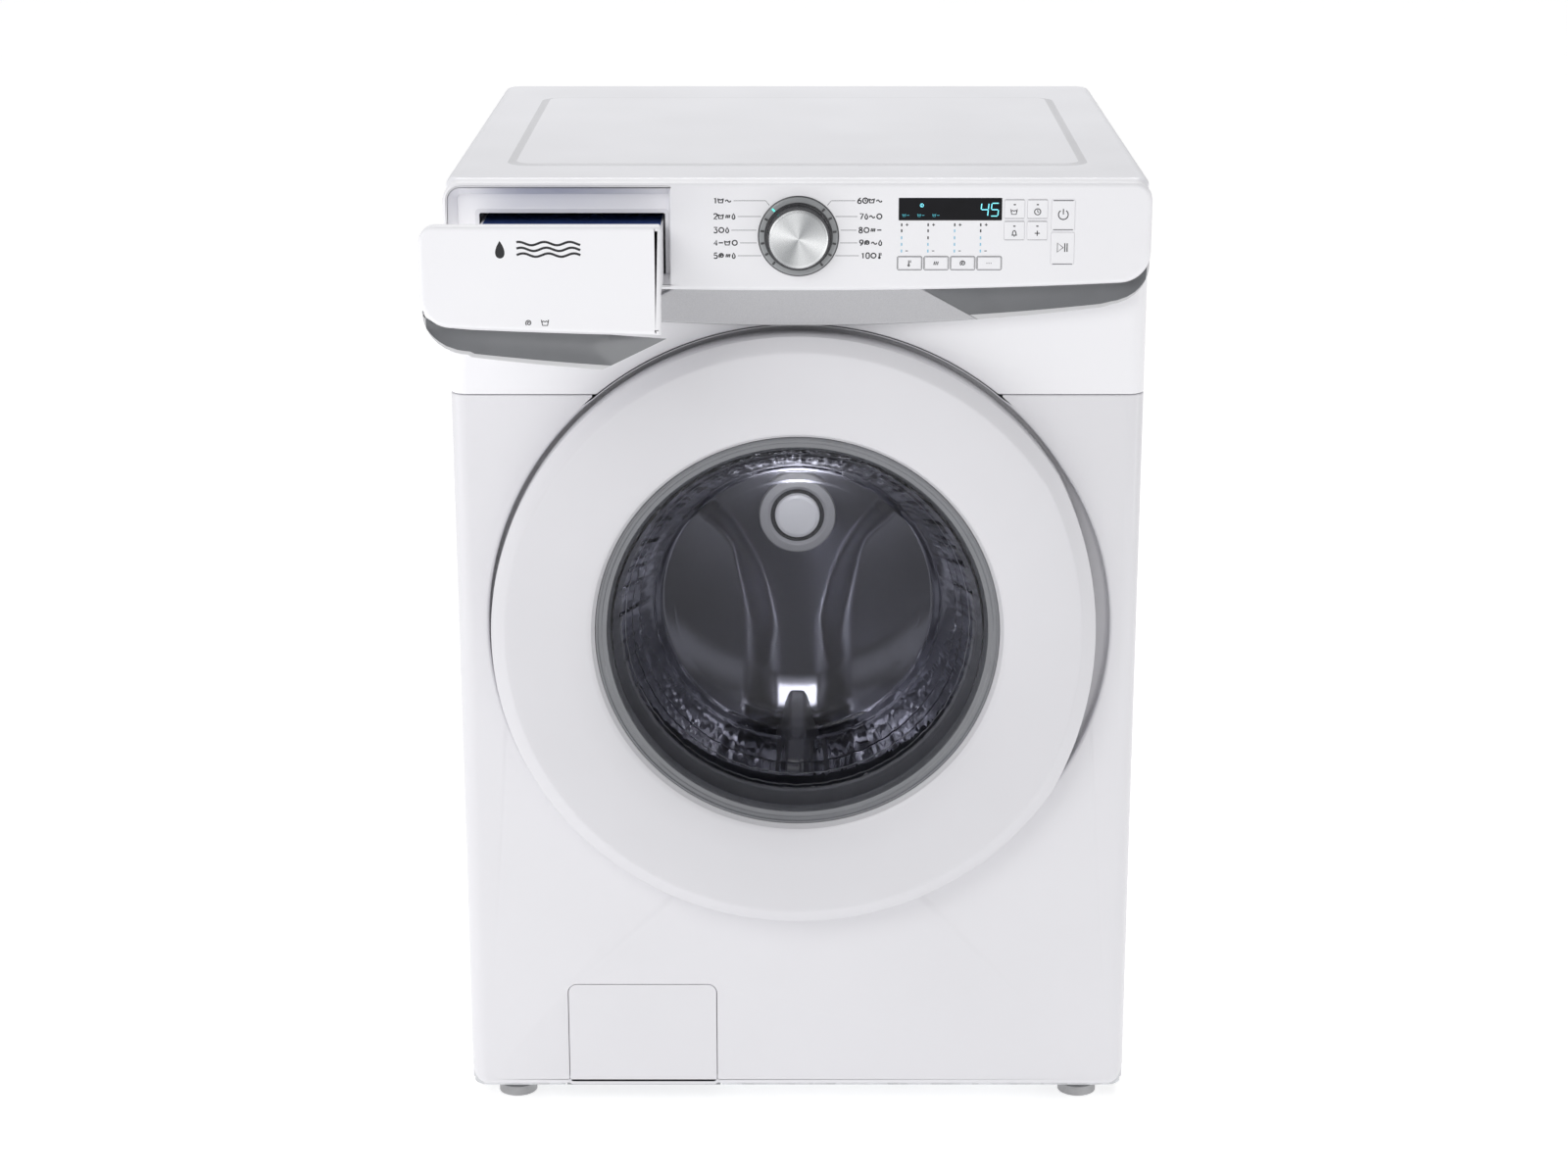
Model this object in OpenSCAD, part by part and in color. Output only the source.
// Front-loading washing machine of the 27 inch class, in millimetres.
// Origin: middle of the cabinet's footprint, on the floor. +X is the machine's
// right as seen by its user, -Y is the front and +Z is up. It stands as in use:
// door closed, detergent drawer pulled out.

/* [Cabinet] */
// Width over the side panels
cab_w = 686; // [676:1:840]
// Depth from the front sheet to the rear sheet
cab_d = 700; // [690:1:860]
// Height from the floor to the top cover
cab_h = 984; // [980:1:1200]
// Thickness of the cabinet's steel sheet
sheet_t = 1.5; // [1:0.1:2]
// Radius of the cabinet's upright edges
edge_r = 18; // [12:1:24]
// Height of the cabinet's lower edge above the floor
floor_gap = 24; // [20:1:34]
// Height of the top cover
cover_h = 22; // [16:1:30]
// Height of the walls of the base tray
tray_h = 40; // [30:1:60]

/* [Front] */
// Height of the control panel's face
fascia_h = 101; // [96:1:112]
// Depth of the control panel in front of the front sheet
fascia_d = 20; // [18:1:26]
// Height of the band of trim under the control panel
trim_h = 40; // [34:1:48]
// Height of the upper front panel that shows beside the door
upper_h = 73; // [60:1:90]
// X of the joint between the drawer front and the fixed fascia
split_x = -122; // [-130:1:-110]
// Gap between two neighbouring covers
cover_gap = 0.8; // [0.5:0.1:1.5]

/* [Door] */
// Radius of the door
door_r = 306; // [250:1:310]
// Width of the gap around the door
door_gap = 4.5; // [3.5:0.1:6]
// How far the door stands in front of the front sheet
door_proud = 37; // [30:1:45]
// Depth of the round recess behind the door
dish_d = 16; // [14:1:22]
// Width of the finger gap at the door's right edge
finger_gap = 16; // [14:1:20]
// Radius of the window
window_r = 203; // [170:1:205]
// Depth of the glass bowl behind the front sheet
bowl_d = 105; // [80:1:110]
// Thickness of the glass
glass_t = 5; // [4:0.5:8]
// Radius of the door's hinge pin
hinge_pin_r = 4; // [3:0.5:5]

/* [Drum and tub] */
// Radius of the drum
drum_r = 268; // [220:1:270]
// Length of the drum
drum_len = 396; // [340:1:400]
// Distance from the front sheet to the drum's mouth
drum_y = 102; // [100:1:120]
// Thickness of the drum's stainless sheet
drum_t = 1.2; // [0.8:0.1:2]
// Radial gap between drum and tub
tub_gap = 17; // [14:1:20]
// Thickness of the tub's wall
tub_t = 4; // [3:0.5:5]
// Radius of the drum's shaft
shaft_r = 15; // [12:0.5:18]
// Outer radius of the drum's bearings
bearing_r = 31; // [28:0.5:36]
// How far the tub may float up or down
float_z = 12; // [8:1:14]

/* [Drawer] */
// Width of the detergent tray
tray_w = 176; // [160:1:180]
// Length of the detergent tray
tray_len = 289; // [240:1:300]
// How far the drawer is pulled out
drawer_out = 225; // [180:1:235]

/* [Controls] */
// Radius of the programme knob
knob_r = 31.5; // [28:0.5:33]
// Travel of a key
key_travel = 0.8; // [0.5:0.1:1]

/* [Feet and fittings] */
// Radius of a foot's pad
foot_r = 20; // [16:1:24]
// Radius of a foot's threaded stud
stud_r = 6; // [5:0.5:8]
// Radius of an inlet's thread
inlet_r = 13.3; // [13:0.1:13.5]
// Radius of the drain spigot
drain_r = 11; // [9:0.5:12]
// Radius of the filter cap
cap_r = 30; // [26:1:32]

/* [Hidden] */
$fn = 144;
run_fit = 0.05;            // radial play of a turning or sliding fit
body_gap = 1;              // play between two loose neighbours
hw = cab_w / 2;
yf = -cab_d / 2;           // front sheet; depths below count back from it
big_fn = 1440;             // smoothness of the very large arcs
cover_z = cab_h - cover_h;
base_t = 2;                // base plate
base_z = floor_gap + base_t;

// control panel, trim and the seam between the two front panels
fascia_hw = hw - 1;
fascia_z1 = cab_h - 1;
fascia_z = fascia_z1 - fascia_h;
fascia_top_r = 18;
fascia_low_r = 30;
fascia_arc_r = 6400;       // lower edge of the fascia
chin_h = 5;                // how far the fascia's edge reaches below its face
skin_t = 2.5;              // fascia's face
rim = 3;                   // frame round the drawer front
trim_z = fascia_z - trim_h;
trim_arc_r = 2400;         // lower edge of the trim
trim_low_r = 40;
trim_d = 16;
lip_h = 5;                 // rim under a finger scoop
crease_x = [104, 195];     // slanting ends of the trim's middle, at its top and bottom
trim_left = [[-crease_x[0], fascia_z + 6], [-crease_x[1], trim_z - 4]];
trim_right = [[crease_x[0], fascia_z + 6], [crease_x[1], trim_z - 4]];
seam_z = trim_z - upper_h;
sheet_top_z = cover_z - 7;
wrap = edge_r + 1;         // how far the front panels reach round the corners

// door opening
dish_r = door_r + door_gap;
dish_drop = 3.5;           // recess below the trim
finger_r = dish_r - finger_gap - door_gap;
finger_out = 4;            // how far the finger gap reaches beyond the recess
axis_z = trim_z - dish_drop - dish_r;
finger_x = dish_r - finger_r + finger_out;
flat_r = door_r + 54;      // flatter arc of the door's right edge
flat_x = -62;
mouth_r = window_r + 11;   // hole in the recess
collar_d = 11;
seal_r = window_r - 22;
door_back = 6;
glass_y = -13;             // front of the glass's flange
seat_play = 0.2;
bevel = 14;
bevel_d = 8;
shell_t = 3;
dish_in = 10;              // how far the door's face falls towards the window
hinge_x = -(door_r - 16);
hinge_y = -14;
knuckle_r = 7;
hinge_plate_x = -(window_r + 25);   // inner end of the hinge's plate
barrel_h = 80;
knuckle_h = 14;
latch_x = (door_r + mouth_r) / 2 + 2;

// tub and drum
tub_in = drum_r + tub_gap;
tub_out = tub_in + tub_t;
tub_y = 75;
tub_joint_y = 300;
flange_t = 8;
flange_r = tub_out + 11;
tub_mouth_r = window_r - 3;
drum_back_y = drum_y + drum_len;
tub_back_y = drum_back_y + 62;
drum_mouth_r = window_r - 8;
hub_r = 55;
bearing_w = 16;
bearing_y = [tub_back_y - 38, tub_back_y + 14];
rotor_r = 150;
rotor_y = tub_back_y + 68;
damper_x = tub_out - 89;
damper_y = [230, 450];
damper_r = 16;
rod_r = 6;
spring_x = tub_out - 31;
spring_y = 330;
spring_r = 13;
lug_z = axis_z + sqrt(tub_out * tub_out - spring_x * spring_x) + 45.8;
hanger_z = lug_z + 176;
bolt_count = 12;
bolt_r = 3;

// drawer
tray_x1 = split_x - 8;
tray_x0 = tray_x1 - tray_w;
tray_z0 = fascia_z + 4;
tray_z1 = fascia_z + 60;
tray_t = 2;
lid_len = 88;              // lid over the tray's back end
lid_t = 1;
grip_joint = [-310, -200]; // x over which the drawer front stands on the grip
slot_play = 2;
front_t = 16;

// controls
knob_x = 1;
knob_z = fascia_z + 49;
knob_d = 19;
spindle_r = 3;
board_y = -8;
board_t = 1.6;
key_back = 4.5;            // back of a key behind the fascia's face
key_play = 0.5;
switch_y = -fascia_d + key_back + key_travel + key_play;
// key: [middle x, middle height above the fascia's lower edge, width, height]
KEYS = [
    [108.5, 22.7, 22, 11.5], [134.2, 22.7, 22, 11.5],
    [159.8, 22.7, 22, 11.5], [185.4, 22.7, 22, 11.5],
    [209.1, 75.3, 19, 18], [231.2, 75.3, 19, 18],
    [209.1, 54.4, 19, 18], [231.2, 54.4, 19, 18],
    [256, 69.5, 22, 29], [256, 37, 22, 31]];
window_box = [97.5, 64.3, 197, 86.2];   // display: x0, z0, x1, z1 above the fascia's edge

// filter flap, pump and rear fittings
flap_x0 = -239;
flap_x1 = -84.5;
flap_z1 = floor_gap + 115;
flap_z0 = floor_gap + 3.8;
flap_r = 10;
flap_t = 2.5;
flap_pin_r = 2.5;
flap_pin_y = 4;
flap_pin_z = floor_gap + 9;
pocket_d = 42;
pump_x = (flap_x0 + flap_x1) / 2;
pump_z = floor_gap + 60;
hose_y = 130;
hose_x = -200;
hose_drop_y = 250;
valve_x = [-205, -150];
valve_z = cab_h - 69;
drain_x = -120;
drain_z = floor_gap + 56;
cord_x = 250;
cord_z = cab_h - 79;
cord_r = 8;
transit_x = hw - 120;
transit_z = [axis_z - 150, axis_z + 150];
transit_r = 12;
access_r = 190;
foot_x = hw - 45;
foot_y = cab_d / 2 - 45;
foot_pad_h = 10;

// ---- helpers -------------------------------------------------------------

// box from its low corner to its high corner; y counts back from the front sheet
module block(low, high)
    translate([low[0], yf + low[1], low[2]]) cube(high - low);

// flat shape in x and z, from depth y0 back to depth y1
module front_extrude(y0, y1)
    translate([0, yf + y1, 0]) rotate([90, 0, 0]) linear_extrude(y1 - y0) children();

// places children with their z axis pointing back from (x, y, z)
module facing(x, y, z)
    translate([x, yf + y, z]) rotate([-90, 0, 0]) children();

// turned ring about the drum's axis; profile points are [radius, depth]
module turned(profile)
    facing(0, 0, axis_z) rotate_extrude() polygon(profile);

// round bar along the depth
module bar(x, z, r, y0, y1)
    facing(x, y0, z) cylinder(r = r, h = y1 - y0);

// upright round bar
module post(x, y, r, z0, z1)
    translate([x, yf + y, z0]) cylinder(r = r, h = z1 - z0);

// rectangle with round corners, from x0, y0 to x1, y1
module round_box(x0, y0, x1, y1, r) {
    translate([x0 + r, y0]) square([x1 - x0 - 2 * r, y1 - y0]);
    translate([x0, y0 + r]) square([x1 - x0, y1 - y0 - 2 * r]);
    for (x = [x0 + r, x1 - r], y = [y0 + r, y1 - r]) translate([x, y]) circle(r);
}

// plan of the cabinet, moved in by a distance
module plan(inset)
    round_box(-hw + inset, yf + inset, hw - inset, -yf - inset, edge_r - inset);

// sheet that covers the front and wraps round both corners
module wrapped_sheet(z0, z1)
    translate([0, 0, z0]) linear_extrude(z1 - z0) intersection() {
        difference() {
            plan(0);
            plan(sheet_t);
        }
        translate([-hw, yf]) square([cab_w, wrap]);
    }

// outline of the round recess with its finger gap, grown by a distance
module dish_outline(grow) translate([0, axis_z]) {
    circle(dish_r + grow);
    translate([finger_x, 0]) circle(finger_r + grow);
}

// control panel's outline, moved in by a distance
module fascia_outline(inset) intersection() {
    round_box(-fascia_hw + inset, fascia_z - 60, fascia_hw - inset, fascia_z1 - inset,
        fascia_top_r - inset);
    round_box(-fascia_hw + inset, fascia_z - chin_h, fascia_hw - inset, fascia_z1 + 60,
        fascia_low_r - inset);
    translate([0, fascia_z - chin_h + fascia_arc_r]) circle(fascia_arc_r, $fn = big_fn);
}

// band of trim under the control panel
module trim_band() difference() {
    intersection() {
        round_box(-fascia_hw, trim_z, fascia_hw, fascia_z + trim_low_r + 20, trim_low_r);
        translate([0, trim_z + trim_arc_r]) circle(trim_arc_r, $fn = big_fn);
        translate([-hw, trim_z - 5]) square([cab_w, trim_h + 12]);
    }
    fascia_outline(0);
    translate([-hw, fascia_z + 60]) square([cab_w, fascia_h]);
}

// end of the band beyond a slanting line; side is 1 on the right and -1 on the left
module scoop(line, side) {
    far = side * cab_w;
    front_extrude(-trim_d, 0) intersection() {
        trim_band();
        polygon([line[0], line[1], [far, line[1][1]], [far, line[0][1]]]);
    }
}

// ---- cabinet -------------------------------------------------------------

module base_frame() color("silver") difference() {
    union() {
        translate([0, 0, floor_gap]) linear_extrude(base_t) plan(2);
        translate([0, 0, floor_gap]) linear_extrude(tray_h) difference() {
            plan(2);
            plan(4);
        }
        for (x = [-foot_x, foot_x], y = [-foot_y, foot_y])
            translate([x, y, floor_gap]) cylinder(r = stud_r + 8, h = 22);
    }
    for (x = [-foot_x, foot_x], y = [-foot_y, foot_y])
        translate([x, y, 0]) cylinder(r = stud_r + run_fit, h = cab_h / 2);
    block([flap_x0 - 5, -1, 0], [flap_x1 + 5, pocket_d + 3, floor_gap + tray_h + 1]);
    bar(drain_x, drain_z, drain_r + 1.5, cab_d - 10, cab_d);
}

module side_panel(side) color("white") {
    x0 = side > 0 ? hw - sheet_t : -hw;
    block([x0, wrap + cover_gap, floor_gap], [x0 + sheet_t, cab_d, cover_z]);
    // front flange and the spring's hanger
    flange_x = side > 0 ? [hw - 20, hw - sheet_t] : [-hw + sheet_t, -hw + 20];
    block([flange_x[0], wrap + cover_gap, floor_gap + tray_h + 2],
        [flange_x[1], wrap + cover_gap + sheet_t, cover_z]);
    hanger_x = side > 0 ? [spring_x - 18, hw - sheet_t] : [-hw + sheet_t, 18 - spring_x];
    block([hanger_x[0], spring_y - 20, hanger_z], [hanger_x[1], spring_y + 20, hanger_z + 3]);
    gusset_x = side > 0 ? [hw - 30, hw - sheet_t] : [-hw + sheet_t, 30 - hw];
    block([gusset_x[0], spring_y - 1.5, hanger_z + 3], [gusset_x[1], spring_y + 1.5, hanger_z + 30]);
}

// rear screws: [x, z]
function rear_screws() = [for (x = [-hw + 15, hw - 15], z = [floor_gap + 80, axis_z, cover_z - 30])
    [x, z]];
function cover_screws() = [for (i = [0:5])
    [(access_r + 8) * cos(60 * i + 30), axis_z + (access_r + 8) * sin(60 * i + 30)]];
screw_r = 2;

module rear_panel() color("lightgray") difference() {
    block([-hw + sheet_t + 0.2, cab_d - sheet_t, floor_gap + tray_h + 2],
        [hw - sheet_t - 0.2, cab_d, cover_z]);
    bar(0, axis_z, access_r, cab_d - 5, cab_d + 5);
    for (x = valve_x) bar(x, valve_z, inlet_r + 4, cab_d - 5, cab_d + 5);
    bar(drain_x, drain_z, drain_r + 1.5, cab_d - 5, cab_d + 5);
    bar(cord_x, cord_z, cord_r, cab_d - 5, cab_d + 5);
    for (x = [-transit_x, transit_x], z = transit_z) bar(x, z, transit_r, cab_d - 5, cab_d + 5);
    for (s = concat(rear_screws(), cover_screws())) bar(s[0], s[1], screw_r, cab_d - 5, cab_d + 5);
}

bulge_d = 20;
module rear_access_cover() color("gainsboro") difference() {
    facing(0, cab_d, axis_z) rotate_extrude() polygon([
        [0, bulge_d], [access_r - 30, bulge_d], [access_r - 12, 0], [access_r + 15, 0],
        [access_r + 15, sheet_t], [access_r - 11, sheet_t], [access_r - 29.5, bulge_d + sheet_t],
        [0, bulge_d + sheet_t]]);
    for (s = cover_screws()) bar(s[0], s[1], screw_r, cab_d - 1, cab_d + 5);
}

module screw(x, z, y) facing(x, y, z) {
    cylinder(r = screw_r + 2, h = 2.5);
    translate([0, 0, -8]) cylinder(r = screw_r - 0.1, h = 8.1);
}

module cabinet_screws() color("gray") {
    for (s = rear_screws()) screw(s[0], s[1], cab_d);
    for (s = cover_screws()) screw(s[0], s[1], cab_d + sheet_t);
}

slot_z0 = tray_z0 - slot_play;
slot_z1 = tray_z1 + 9;
latch_slot = [latch_x - 13, latch_x + 12];

module front_panel() color("white") difference() {
    union() {
        intersection() {
            wrapped_sheet(floor_gap, seam_z);
            front_extrude(-1, wrap + 1) round_box(-hw, floor_gap, hw, seam_z + 60, edge_r + 9);
        }
        front_extrude(0, dish_d) dish_outline(sheet_t);
        front_extrude(dish_d, dish_d + sheet_t) dish_outline(sheet_t);
        facing(0, dish_d, axis_z) cylinder(r = mouth_r, h = collar_d + sheet_t);
    }
    front_extrude(-1, dish_d) dish_outline(0);
    bar(0, axis_z, mouth_r - sheet_t, -1, dish_d + collar_d + 5);
    block([latch_slot[0], 0, axis_z - 11], [latch_slot[1], dish_d + 5, axis_z + 11]);
    front_extrude(-1, sheet_t + 1)
        round_box(flap_x0 - 0.5, flap_z0 - 1.3, flap_x1 + 0.5, flap_z1 + 0.5, flap_r);
    // room at the lower corners, where the open flap lies through the sheet
    block([flap_x0 - 0.5, -1, flap_pin_z - flap_pin_y - 0.5],
        [flap_x1 + 0.5, sheet_t + 1, flap_z0 - 1.3 + flap_r]);
}

module upper_front_panel() color("white") difference() {
    wrapped_sheet(seam_z + cover_gap, sheet_top_z);
    front_extrude(-1, wrap + 1) dish_outline(sheet_t + 0.5);
    block([tray_x0 - slot_play, -1, slot_z0], [tray_x1 + slot_play, sheet_t + 1, slot_z1]);
}

module top_cover() color("white") difference() {
    translate([0, 0, cover_z]) linear_extrude(cover_h) cover_plan(0);
    translate([0, 0, cover_z - 1]) linear_extrude(cover_h + 1 - sheet_t) cover_plan(sheet_t);
}

module cover_plan(inset) round_box(-hw + inset, yf + 8 + inset, hw - inset, -yf - 8 - inset,
    edge_r + 2 - inset);

module key_hole(k, play)
    front_extrude(-fascia_d - 5, -fascia_d + skin_t + 5)
        round_box(k[0] - k[2] / 2 - play, fascia_z + k[1] - k[3] / 2 - play,
            k[0] + k[2] / 2 + play, fascia_z + k[1] + k[3] / 2 + play, 1.5);

module control_panel() color("white") difference() {
    union() {
        front_extrude(-fascia_d, 0) fascia_outline(0);
        front_extrude(-1, 7) intersection() {
            fascia_outline(0);
            translate([-hw, sheet_top_z + 1]) square([cab_w, fascia_h]);
        }
    }
    // hollow behind the fixed fascia, shallower above the sheets
    front_extrude(-fascia_d + skin_t, 0) round_box(split_x + 4, fascia_z + 10, fascia_hw - 5,
        sheet_top_z - 1, 12);
    front_extrude(-fascia_d + skin_t, board_y + board_t + 1) round_box(split_x + 4, fascia_z + 10,
        fascia_hw - 5, fascia_z1 - 8, 12);
    // recess for the drawer front, and the slot that the tray slides through
    front_extrude(-fascia_d - 1, -3) drawer_outline(rim - body_gap, split_x);
    block([tray_x0 - slot_play, -5, slot_z0], [tray_x1 + slot_play, 1, slot_z1]);
    // controls
    bar(knob_x, knob_z, spindle_r + 1, -fascia_d - 1, 0);
    for (k = KEYS) key_hole(k, 0.3);
    block([window_box[0], -fascia_d - 1, fascia_z + window_box[1]],
        [window_box[2], -fascia_d + 1.2, fascia_z + window_box[3]]);
}

module silver_trim() color("darkgray") {
    front_extrude(-trim_d, 0) intersection() {
        trim_band();
        polygon([trim_left[0], trim_left[1], trim_right[1], trim_right[0]]);
    }
    difference() {
        scoop([trim_right[0], trim_right[1]], 1);
        scoop_hollow(1);
    }
}

// channel of a finger scoop; side is 1 for the fixed one and -1 for the drawer's
module scoop_hollow(side) front_extrude(-trim_d - 5, -6) intersection() {
    translate([-side * lip_h, lip_h]) trim_band();
    x0 = side > 0 ? 200 : -cab_w;
    x1 = side > 0 ? cab_w : trim_left[1][0] - 12;
    translate([x0, 0]) square([x1 - x0, cab_h]);
}

module display_window() color([0.03, 0.03, 0.04])
    block([window_box[0] + 0.2, -fascia_d - 0.2, fascia_z + window_box[1] + 0.2],
        [window_box[2] - 0.2, -fascia_d + 1, fascia_z + window_box[3] - 0.2]);

module control_board() color("seagreen") difference() {
    union() {
        block([-60, board_y, fascia_z + 14], [300, board_y + board_t, fascia_z1 - 14]);
        block([knob_x - 9, board_y - 6, knob_z - 9], [knob_x + 9, board_y, knob_z + 9]);
        for (k = KEYS) block([k[0] - 3, switch_y, fascia_z + k[1] - 3],
            [k[0] + 3, board_y, fascia_z + k[1] + 3]);
    }
    bar(knob_x, knob_z, spindle_r + run_fit, board_y - 10, board_y + 10);
}

module panel_key(i) color("whitesmoke") {
    k = KEYS[i];
    front_extrude(-fascia_d - 0.6, -fascia_d + key_back) round_box(k[0] - k[2] / 2, fascia_z + k[1] - k[3] / 2,
        k[0] + k[2] / 2, fascia_z + k[1] + k[3] / 2, 1.2);
    front_extrude(-fascia_d + skin_t + 0.5, -fascia_d + key_back) round_box(
        k[0] - k[2] / 2 - 0.8, fascia_z + k[1] - k[3] / 2 - 0.8,
        k[0] + k[2] / 2 + 0.8, fascia_z + k[1] + k[3] / 2 + 0.8, 1.2);
}

module programme_knob() color("silver") {
    difference() {
        bar(knob_x, knob_z, knob_r, -fascia_d - knob_d, -fascia_d - 0.6);
        bar(knob_x, knob_z, knob_r - 3, -fascia_d - knob_d + 4, -fascia_d);
    }
    bar(knob_x, knob_z, spindle_r, -fascia_d - knob_d + 3, board_y - 2);
}

// ---- water and detergent ---------------------------------------------------

house_t = 3;
house_y1 = tray_len + 16;
module dispenser_housing() color("whitesmoke") difference() {
    union() {
        block([tray_x0 - slot_play - house_t, sheet_t + 0.5, slot_z0 - house_t],
            [tray_x1 + slot_play + house_t, house_y1, slot_z1 + house_t]);
        post(hose_x, hose_drop_y, 20, slot_z0 - 18, slot_z0);
    }
    block([tray_x0 - slot_play, 0, slot_z0], [tray_x1 + slot_play, house_y1 - house_t, slot_z1]);
    post(hose_x, hose_drop_y, 16, slot_z0 - 30, slot_z0 + 5);
}

module drawer_outline(inset, x1) intersection() {
    fascia_outline(inset);
    translate([-hw, fascia_z - 2 * chin_h]) square([x1 + hw, fascia_h + 4 * chin_h]);
}

module in_drawer() translate([0, -drawer_out, 0]) children();

module drawer_front() color("white") in_drawer() difference() {
    front_extrude(-fascia_d, -fascia_d + front_t) drawer_outline(rim, split_x - cover_gap);
    front_extrude(-fascia_d + 3, 0) intersection() {
        round_box(-fascia_hw + rim + 4, fascia_z + 14, split_x - 8, fascia_z1 - rim - 4, 14);
        translate([-hw, tray_z1 + 1]) square([cab_w, fascia_h]);
    }
}

module drawer_grip() color("dimgray") in_drawer() difference() {
    forward = [0, trim_d - fascia_d, 0];
    side_gap = [body_gap, 0];
    translate(forward) scoop([trim_left[0] - side_gap, trim_left[1] - side_gap], -1);
    translate(forward) scoop_hollow(-1);
    // play under the panel's rim, except where the drawer front stands on the grip
    front_extrude(-fascia_d - 1, 0) difference() {
        translate([-seat_play, -seat_play]) fascia_outline(0);
        translate([grip_joint[0], 0]) square([grip_joint[1] - grip_joint[0], cab_h]);
    }
}

module drawer_tray() color("whitesmoke") in_drawer() difference() {
    y0 = -fascia_d + front_t;
    block([tray_x0, y0, tray_z0], [tray_x1, y0 + tray_len, tray_z1]);
    mid_x = tray_x1 - 62;
    block([tray_x0 + tray_t, y0 + tray_t, tray_z0 + tray_t],
        [mid_x - tray_t, y0 + tray_len - tray_t, tray_z1 + 1]);
    block([mid_x, y0 + tray_t, tray_z0 + tray_t],
        [tray_x1 - tray_t, y0 + tray_len - tray_t, tray_z1 + 1]);
    // seat of the lid across both chambers
    block([tray_x0 + tray_t, y0 + tray_len - tray_t - lid_len, tray_z1 - lid_t],
        [tray_x1 - tray_t, y0 + tray_len - tray_t, tray_z1 + 1]);
}

module softener_cover() color("royalblue") in_drawer() {
    y0 = -fascia_d + front_t + tray_t;
    y1 = y0 + tray_len - 2 * tray_t - seat_play;
    x0 = tray_x0 + tray_t + seat_play;
    x1 = tray_x1 - 62 - tray_t - seat_play;
    difference() {
        block([x0, y0 + 90, tray_z0 + tray_t], [x1, y1, tray_z1 - 4]);
        block([x0 + 3, y0 + 93, tray_z0 + tray_t - 1], [x1 - 3, y1 - 3, tray_z1 - 7]);
    }
    // lid over the back end of both chambers
    block([x0, y1 - lid_len + seat_play, tray_z1 - 4], [x1, y1, tray_z1]);
    block([x0, y1 - lid_len + seat_play, tray_z1 - lid_t],
        [tray_x1 - tray_t - seat_play, y1, tray_z1]);
}

module inlet_valves() color("white") for (x = valve_x) difference() {
    union() {
        block([x - 17, cab_d - 66, valve_z - 20], [x + 17, cab_d - sheet_t - 0.5, valve_z + 22]);
        bar(x, valve_z, inlet_r + 3, cab_d - 3, cab_d + 40);
        bar(x, valve_z, inlet_r, cab_d + 39, cab_d + 60);
        // fill hose to the dispenser
        bar(x, valve_z, 8, house_y1, cab_d - 60);
    }
    bar(x, valve_z, inlet_r - 4, cab_d + 20, cab_d + 61);
    bar(x, valve_z, 5, house_y1 - 1, cab_d - 70);
}

sump_z = axis_z - sqrt(tub_out * tub_out - pump_x * pump_x);
inflow_z = axis_z + sqrt(tub_out * tub_out - hose_x * hose_x);
spigot_h = 24;
module hose(x, y, z0, z1) difference() {
    post(x, y, 20, z0, z1);
    post(x, y, 16, z0 - 1, z1 + 1);
}

module tub_hoses() color("dimgray") {
    hose(pump_x, hose_y, pump_z + 41, sump_z - spigot_h);
    hose(hose_x, hose_drop_y, inflow_z + spigot_h, slot_z0 - 18);
}

pump_len = 120;
spigot_len = 35;
module drain_pump() color("gray") difference() {
    union() {
        bar(pump_x, pump_z, cap_r - 3, pocket_d + 0.5, pocket_d + pump_len);
        bar(pump_x, pump_z, cap_r - 6, pocket_d, pocket_d + pump_len + 42);
        post(pump_x, hose_y, 18, pump_z, pump_z + 41);
        block([pump_x - 24, 70, base_z], [pump_x + 24, 150, pump_z - 10]);
        translate([pump_x, yf + 100, drain_z]) rotate([0, 90, 0])
            cylinder(r = drain_r - 1.5, h = drain_x - pump_x);
        translate([drain_x, yf + 100, drain_z]) sphere(r = drain_r - 1.5);
        bar(drain_x, drain_z, drain_r - 1.5, 100, cab_d);
        bar(drain_x, drain_z, drain_r, cab_d - 1, cab_d + spigot_len);
    }
    bar(pump_x, pump_z, cap_r - 8 + run_fit, pocket_d - 5, pocket_d + 34);
    bar(drain_x, drain_z, drain_r - 3.5, 120, cab_d + spigot_len + 1);
}

module filter_pocket() color("gainsboro") difference() {
    x0 = flap_x0 - 1;
    x1 = flap_x1 + 1;
    z0 = flap_z0 - 2;
    z1 = flap_z1 + 1;
    block([x0 - 2.5, sheet_t + 0.3, z0 - 1.6], [x1 + 2.5, pocket_d, z1 + 2.5]);
    block([x0, 0, z0], [x1, pocket_d - 2.5, z1]);
    bar(pump_x, pump_z, cap_r - 5.7, pocket_d - 5, pocket_d + 5);
    translate([x0 - 5, yf + flap_pin_y, flap_pin_z]) rotate([0, 90, 0])
        cylinder(r = flap_pin_r + run_fit, h = x1 - x0 + 10);
}

module filter_flap() color("white") {
    front_extrude(0, flap_t) round_box(flap_x0, flap_z0, flap_x1, flap_z1, flap_r - 1);
    for (x = [flap_x0 + 10, flap_x1 - 14])
        block([x, flap_t - 0.5, flap_pin_z - 3], [x + 4, flap_pin_y + 3, flap_pin_z + 3]);
    translate([flap_x0 - 3, yf + flap_pin_y, flap_pin_z]) rotate([0, 90, 0])
        cylinder(r = flap_pin_r, h = flap_x1 - flap_x0 + 6);
}

module filter_cap() color("gray") {
    bar(pump_x, pump_z, cap_r, pocket_d - 16, pocket_d - 6);
    block([pump_x - cap_r + 6, pocket_d - 26, pump_z - 4],
        [pump_x + cap_r - 6, pocket_d - 15, pump_z + 4]);
    bar(pump_x, pump_z, cap_r - 8, pocket_d - 7, pocket_d + 30);
}

// ---- feet and suspension ----------------------------------------------------

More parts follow.
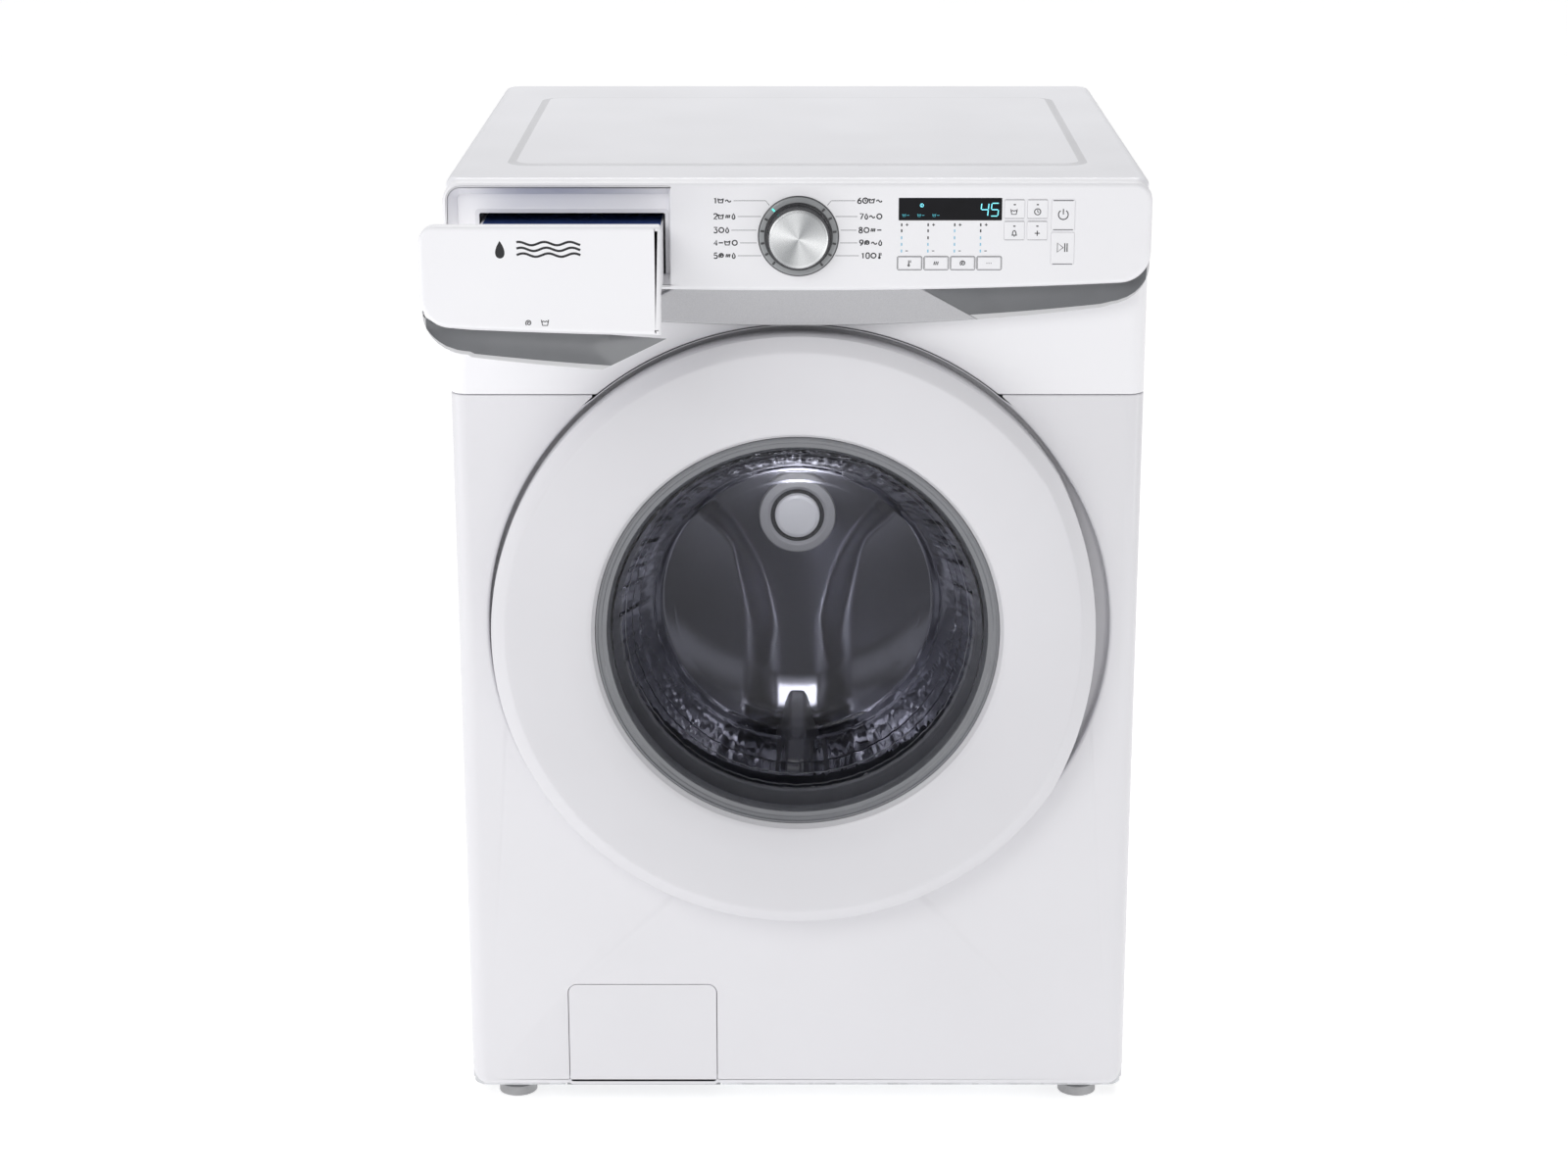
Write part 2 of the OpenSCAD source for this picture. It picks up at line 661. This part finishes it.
module foot(sx, sy) color("dimgray") translate([sx * foot_x, sy * foot_y, 0]) {
    cylinder(r = foot_r, h = foot_pad_h);
    cylinder(r = stud_r, h = floor_gap + 34);
    translate([0, 0, floor_gap - 8]) cylinder(r = stud_r * 1.75, h = 8, $fn = 6);
}

damper_top = axis_z - sqrt(tub_out * tub_out - damper_x * damper_x) - 14;
rod_dip = 48;              // least height of the rod's end above the cylinder's foot
damper_len = damper_top - base_z - float_z - 63;
module at_dampers() for (x = [-damper_x, damper_x], y = damper_y) translate([x, y, 0]) children();

module damper_cylinders() color("slategray") at_dampers() difference() {
    post(0, 0, damper_r, base_z, base_z + damper_len);
    post(0, 0, rod_r + run_fit, base_z + 20, base_z + damper_len + 1);
}

module damper_rods() color("silver") at_dampers()
    post(0, 0, rod_r, base_z + rod_dip + float_z, damper_top);

module suspension_springs() color("gray") for (x = [-spring_x, spring_x]) difference() {
    post(x, spring_y, spring_r, lug_z, hanger_z);
    post(x, spring_y, spring_r - 3, lug_z - 1, hanger_z + 1);
}

// ---- tub --------------------------------------------------------------------

module flange_holes() for (i = [0:bolt_count - 1]) facing(0, tub_joint_y - flange_t - 1, axis_z)
    rotate([0, 0, (i + 0.5) * 360 / bolt_count]) translate([tub_out + 5, 0, 0])
        cylinder(r = bolt_r + 0.05, h = 2 * flange_t + 2);

// lug under the tub for a damper rod, cut to the tub's wall
module damper_lug(x, y, y0, y1) difference() {
    block([x - 14, y - 12, damper_top], [x + 14, y + 12, damper_top + 34]);
    bar(0, axis_z, tub_in + 1, y0, y1);
}

module tub_front() color("lightslategray") difference() {
    union() {
        turned([[tub_mouth_r, tub_y - 15], [tub_mouth_r + 4, tub_y - 15], [tub_mouth_r + 4, tub_y],
            [tub_out, tub_y], [tub_out, tub_joint_y - flange_t], [flange_r, tub_joint_y - flange_t],
            [flange_r, tub_joint_y], [tub_in, tub_joint_y], [tub_in, tub_y + tub_t],
            [tub_mouth_r, tub_y + tub_t]]);
        for (x = [-damper_x, damper_x]) damper_lug(x, damper_y[0], tub_y, tub_joint_y);
        difference() {
            union() {
                post(pump_x, hose_y, 20, sump_z - spigot_h, sump_z + 20);
                post(hose_x, hose_drop_y, 20, inflow_z - 20, inflow_z + spigot_h);
            }
            bar(0, axis_z, tub_in + 1, tub_y, tub_joint_y);
        }
    }
    post(pump_x, hose_y, 15, sump_z - 30, sump_z + 60);
    post(hose_x, hose_drop_y, 15, inflow_z - 60, inflow_z + 30);
    flange_holes();
}

// rear half of the tub, with the seats of both bearings in its back
module tub_rear() color("lightslategray") difference() {
    seat = bearing_r + run_fit;
    union() {
        turned([[tub_in, tub_joint_y], [flange_r, tub_joint_y], [flange_r, tub_joint_y + flange_t],
            [tub_out, tub_joint_y + flange_t], [tub_out, tub_back_y], [hub_r, tub_back_y],
            [hub_r, tub_back_y + 32], [seat, tub_back_y + 32], [seat, bearing_y[1] - 2],
            [bearing_r - 6, bearing_y[1] - 2], [bearing_r - 6, bearing_y[0] + bearing_w + 2],
            [seat, bearing_y[0] + bearing_w + 2], [seat, bearing_y[0]], [hub_r, bearing_y[0]],
            [hub_r + 12, tub_back_y - tub_t], [tub_in, tub_back_y - tub_t]]);
        for (y = [tub_joint_y + 60 : 60 : tub_back_y - 20])
            turned([[tub_out - 1, y], [tub_out + 6, y], [tub_out + 6, y + 3], [tub_out - 1, y + 3]]);
        for (x = [-1, 1]) difference() {
            block([x * spring_x - 18, spring_y - 13, lug_z - 24], [x * spring_x + 18, spring_y + 13, lug_z]);
            bar(0, axis_z, tub_in + 1, tub_joint_y, tub_back_y);
        }
        for (x = [-damper_x, damper_x]) damper_lug(x, damper_y[1], tub_joint_y, tub_back_y);
    }
    flange_holes();
}

module counterweights() color("darkgray") for (turn = [90, 270])
    facing(0, 0, axis_z) rotate([0, 0, turn - 48]) rotate_extrude(angle = 96)
        polygon([[tub_mouth_r + 26, tub_y - 32], [tub_out - 9, tub_y - 32],
            [tub_out - 9, tub_y], [tub_mouth_r + 26, tub_y]]);

module tub_bolts() color("gray") for (i = [0:bolt_count - 1])
    facing(0, tub_joint_y - flange_t, axis_z) rotate([0, 0, (i + 0.5) * 360 / bolt_count])
        translate([tub_out + 5, 0, 0]) {
            translate([0, 0, -5]) cylinder(r = 5, h = 5, $fn = 6);
            cylinder(r = bolt_r, h = 2 * flange_t + 4);
            translate([0, 0, 2 * flange_t]) cylinder(r = 5, h = 5, $fn = 6);
        }

module drum_bearings() color("silver") for (y = bearing_y) turned([
    [shaft_r + run_fit, y], [bearing_r, y], [bearing_r, y + bearing_w], [shaft_r + run_fit, y + bearing_w]]);

stator_r = rotor_r - 12;
module motor_stator() color("peru") difference() {
    turned([[hub_r + 15, tub_back_y], [hub_r + 35, tub_back_y], [hub_r + 35, tub_back_y + 10],
        [stator_r, tub_back_y + 10], [stator_r, rotor_y - 6], [hub_r + 15, rotor_y - 6]]);
    for (i = [0:35]) facing(0, tub_back_y + 12, axis_z) rotate([0, 0, 10 * i])
        translate([stator_r - 22, -3, 0]) cube([30, 6, 60]);
}

// ---- drum -------------------------------------------------------------------

dome_d = 58;
module drum_shell() color("silver") {
    turned([[drum_mouth_r, drum_y - 2], [drum_mouth_r + 5, drum_y - 2], [drum_r, drum_y + 8],
        [drum_r, drum_back_y], [120, drum_back_y], [62, drum_back_y - dome_d + 10],
        [43, drum_back_y - dome_d], [0, drum_back_y - dome_d],
        [0, drum_back_y - dome_d - drum_t], [43.6, drum_back_y - dome_d - drum_t],
        [62.6, drum_back_y - dome_d + 8.8], [120.6, drum_back_y - drum_t],
        [drum_r - drum_t, drum_back_y - drum_t], [drum_r - drum_t, drum_y + 9],
        [drum_mouth_r + 5, drum_y], [drum_mouth_r, drum_y]]);
}

lifter_h = 52;
module drum_lifters() color("gainsboro") for (i = [0:2])
    facing(0, drum_y + 40, axis_z) rotate([0, 0, 90 + 120 * i])
        translate([drum_r - drum_t - 0.5 - lifter_h, 0, 0]) difference() {
            linear_extrude(drum_len - 60) intersection() {
                polygon([[0, -8], [0, 8], [lifter_h + 10, 27], [lifter_h + 10, -27]]);
                translate([-(drum_r - drum_t - 0.5 - lifter_h), 0]) circle(drum_r - drum_t - 0.5);
            }
            translate([0, 0, 3]) linear_extrude(drum_len - 66) intersection() {
                polygon([[3, -6], [3, 6], [lifter_h + 10, 24], [lifter_h + 10, -24]]);
                translate([-(drum_r - drum_t - 0.5 - lifter_h), 0]) circle(drum_r - drum_t - 3.5);
            }
        }

module drum_spider() color("lightsteelblue") {
    facing(0, drum_back_y + 0.5, axis_z) {
        cylinder(r = 42, h = 18);
        for (i = [0:2]) rotate([0, 0, 30 + 120 * i]) translate([0, -15, 0]) cube([drum_r - 6, 30, 12]);
    }
    bar(0, axis_z, shaft_r, drum_back_y + 10, rotor_y + 22);
}

module motor_rotor() color("gray") turned([
    [shaft_r, rotor_y - 8], [shaft_r + 12, rotor_y - 8], [shaft_r + 12, rotor_y],
    [rotor_r - 6, rotor_y], [rotor_r - 6, tub_back_y + 20], [rotor_r, tub_back_y + 20],
    [rotor_r, rotor_y + 4], [shaft_r + 12, rotor_y + 4], [shaft_r + 12, rotor_y + 16],
    [shaft_r, rotor_y + 16]]);

// ---- door -------------------------------------------------------------------

// door's body: inside both the door's circle and the flatter arc of its right edge
module door_shape(inset, back, window) intersection() {
    turned([[window, -17 - inset * 0.2], [window_r + 9 + inset / 2, -door_proud + dish_in + inset],
        [door_r - bevel - inset * 0.3, -door_proud + inset], [door_r - inset, -door_proud + bevel_d + inset / 2],
        [door_r - inset, back], [window, back]]);
    facing(flat_x, 0, axis_z) rotate_extrude() polygon([
        [0, -door_proud - 1], [flat_r - bevel - 1.75 - inset, -door_proud - 1],
        [flat_r - inset, -door_proud + bevel_d + inset / 2], [flat_r - inset, back], [0, back]]);
}

// room that the hinge bracket's two knuckles need through the door's edge
module knuckle_room() for (side = [-1, 1]) {
    z = axis_z + side * (barrel_h / 2 + knuckle_h / 2 + 0.5);
    block([-door_r - 5, hinge_y - 11, z - knuckle_h / 2 - 1.5],
        [hinge_x + 7.5, door_back + 5, z + knuckle_h / 2 + 1.5]);
}

module door_frame() color("white") difference() {
    door_shape(0, door_back, window_r);
    door_shape(shell_t, door_back + 1, window_r + 3);
    bar(0, axis_z, window_r, -door_proud - 5, door_back + 5);
    bar(0, axis_z, window_r + 6 + seat_play, glass_y - seat_play, door_back + 5);
    knuckle_room();
}

module door_inner_frame() color("gainsboro") difference() {
    intersection() {
        turned([[window_r - 8, glass_y + 4], [window_r + 6, glass_y + 4], [window_r + 6, door_back - 3.5],
            [door_r + 5, door_back - 3.5], [door_r + 5, door_back], [window_r - 8, door_back]]);
        bar(0, axis_z, door_r - shell_t - 0.4, -20, door_back + 5);
        bar(flat_x, axis_z, flat_r - shell_t - 0.4, -20, door_back + 5);
    }
    knuckle_room();
}

module door_glass() color([0.75, 0.8, 0.85, 0.4]) turned([
    [window_r + 2.4, glass_y], [window_r + 2.4, glass_y + 3.8], [window_r - 12, glass_y + 3.8],
    [window_r - 51, bowl_d - 14], [window_r - 60, bowl_d - 3], [window_r - 75, bowl_d], [0, bowl_d],
    [0, bowl_d - glass_t], [window_r - 76, bowl_d - glass_t], [window_r - 63, bowl_d - 7],
    [window_r - 56, bowl_d - 16], [window_r - 17, glass_y]]);

module door_hinge_arm() color("silver") difference() {
    z0 = axis_z - barrel_h / 2;
    union() {
        post(hinge_x, hinge_y, knuckle_r, z0, z0 + barrel_h);
        block([hinge_x - 3, hinge_y, z0], [hinge_x + 5, door_back - 3.5, z0 + barrel_h]);
        block([hinge_x - 3, door_back - 7.5, z0], [hinge_plate_x, door_back - 3.5, z0 + barrel_h]);
    }
    post(hinge_x, hinge_y, hinge_pin_r + run_fit, z0 - 1, z0 + barrel_h + 1);
}

module door_hinge_bracket() color("silver") {
    z0 = axis_z - barrel_h / 2 - knuckle_h - 0.5;
    z1 = axis_z + barrel_h / 2 + knuckle_h + 0.5;
    post(hinge_x, hinge_y, hinge_pin_r, z0, z1);
    block([hinge_x - 13, dish_d - 3, z0], [hinge_x + 18, dish_d, z1]);
    for (z = [z0, z1 - knuckle_h]) {
        post(hinge_x, hinge_y, knuckle_r, z, z + knuckle_h);
        block([hinge_x - 2.5, hinge_y, z], [hinge_x + 2.5, dish_d - 2, z + knuckle_h]);
    }
}

module door_latch_hook() color("silver") {
    block([latch_x - 12, door_back, axis_z - 14], [latch_x + 12, door_back + 2, axis_z + 14]);
    block([latch_x - 4, door_back + 1, axis_z - 6], [latch_x + 4, dish_d + 20, axis_z + 6]);
    block([latch_x - 10, dish_d + 14, axis_z - 6], [latch_x - 3, dish_d + 20, axis_z + 6]);
}

module door_lock() color("dimgray") difference() {
    y0 = dish_d + sheet_t;
    block([latch_slot[0] - 4, y0, axis_z - 30], [latch_slot[1] + 8, y0 + 32, axis_z + 30]);
    block([latch_slot[0], y0 - 1, axis_z - 11], [latch_slot[1], y0 + 26, axis_z + 11]);
}

module door_gasket() color("gray") {
    c = dish_d + sheet_t + collar_d;   // back edge of the panel's collar
    r = mouth_r - sheet_t - 0.5;
    turned([[seal_r, dish_d + 3], [r, dish_d + 3], [r, c + 2], [r + 5, c + 8], [r + 5, tub_y - 17],
        [tub_mouth_r + 10, tub_y - 11], [tub_mouth_r + 10, tub_y - 2], [tub_mouth_r + 4.3, tub_y - 2],
        [tub_mouth_r + 4.3, tub_y - 13], [r, tub_y - 20], [r, c + 12], [r - 5, c + 6],
        [r - 5, dish_d + 8], [seal_r, dish_d + 8]]);
}

// ---- the machine --------------------------------------------------------------

base_frame();
side_panel(-1);  // left_side_panel
side_panel(1);  // right_side_panel
rear_panel();
rear_access_cover();
front_panel();
upper_front_panel();
top_cover();
control_panel();
silver_trim();
display_window();
control_board();
dispenser_housing();
inlet_valves();
tub_hoses();
cabinet_screws();
door_hinge_bracket();
door_lock();
filter_pocket();
drain_pump();
damper_cylinders();
suspension_springs();
door_gasket();
foot(-1, -1);  // front_left_foot
foot(1, -1);  // front_right_foot
foot(-1, 1);  // rear_left_foot
foot(1, 1);  // rear_right_foot
tub_front();
tub_rear();
counterweights();
tub_bolts();
drum_bearings();
motor_stator();
damper_rods();
drum_shell();
drum_lifters();
drum_spider();
motor_rotor();
door_frame();
door_inner_frame();
door_glass();
door_hinge_arm();
door_latch_hook();
drawer_front();
drawer_grip();
drawer_tray();
softener_cover();
programme_knob();
filter_flap();
filter_cap();
panel_key(0);  // temperature_key
panel_key(1);  // rinse_key
panel_key(2);  // spin_key
panel_key(3);  // soil_key
panel_key(4);  // pre_soak_key
panel_key(5);  // delay_key
panel_key(6);  // alarm_key
panel_key(7);  // care_key
panel_key(8);  // power_key
panel_key(9);  // start_key
